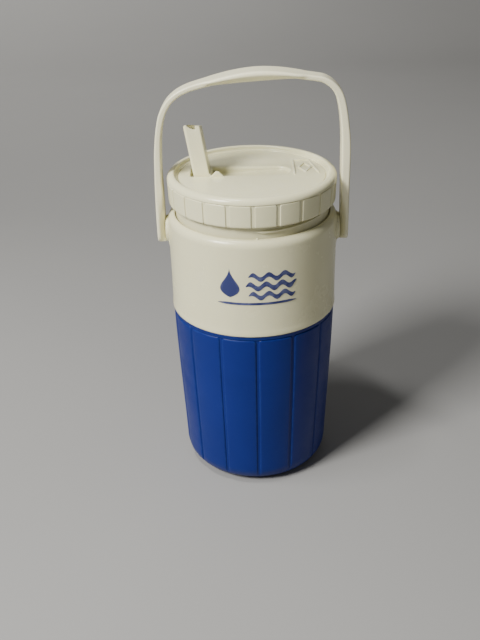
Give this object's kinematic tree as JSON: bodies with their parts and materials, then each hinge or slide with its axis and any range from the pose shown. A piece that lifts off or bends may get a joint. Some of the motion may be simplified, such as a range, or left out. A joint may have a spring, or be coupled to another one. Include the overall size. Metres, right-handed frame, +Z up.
{
  "type": "insulated drinks jug",
  "caption": "Foam-insulated drinks jug with a screw lid, flip-up spout and swinging carry handle.",
  "frame": {"origin": "centre of the base, on the plane it stands on", "axes": "+Z up along the body's axis, -Y towards the printed front, +X towards the folded spout's tip; the handle swings about a line along X"},
  "size_m": [0.156, 0.1386, 0.3474],
  "materials": {
    "blue_plastic": "satin moulded polyethylene",
    "white_plastic": "satin moulded polyethylene",
    "liner_plastic": "satin moulded polyethylene",
    "foam": "cast polyurethane foam",
    "seal_rubber": "soft silicone"
  },
  "bodies": {
    "jug": {"outer_shell": "blue_plastic", "upper_collar": "white_plastic", "body_liner": "liner_plastic", "body_insulation": "foam", "foam_fill_plug": "blue_plastic", "handle_pivot_stud_left": "white_plastic", "handle_pivot_stud_right": "white_plastic"},
    "gasket_ring": {"lid_gasket": "seal_rubber"},
    "lid": {"lid_cap": "white_plastic", "lid_liner": "white_plastic", "lid_insulation": "foam", "spout_seat_seal": "seal_rubber"},
    "spout": {"spout": "white_plastic"},
    "handle": {"handle": "white_plastic"}
  },
  "joints": [
    {"name": "lid_lift", "type": "slide", "parent": "jug", "child": "gasket_ring", "axis": [0, 0, 1], "range_m": [0, 0.00901]},
    {"name": "lid_turn", "type": "hinge", "parent": "gasket_ring", "child": "lid", "pos_m": [0, 0, 0.25], "axis": [0, 0, 1], "range_deg": [0, 180]},
    {"name": "spout_flip", "type": "hinge", "parent": "lid", "child": "spout", "pos_m": [-0.0362, 0.006, 0.2622], "axis": [0, 1, 0], "range_deg": [0, 96]},
    {"name": "handle_swing", "type": "hinge", "parent": "jug", "child": "handle", "pos_m": [0, 0, 0.2195], "axis": [1, 0, 0], "range_deg": [-135, 135]}
  ],
  "couplings": [
    {"joint": "lid_lift", "follows": "lid_turn", "m_per_rad": 0.0028648}
  ]
}
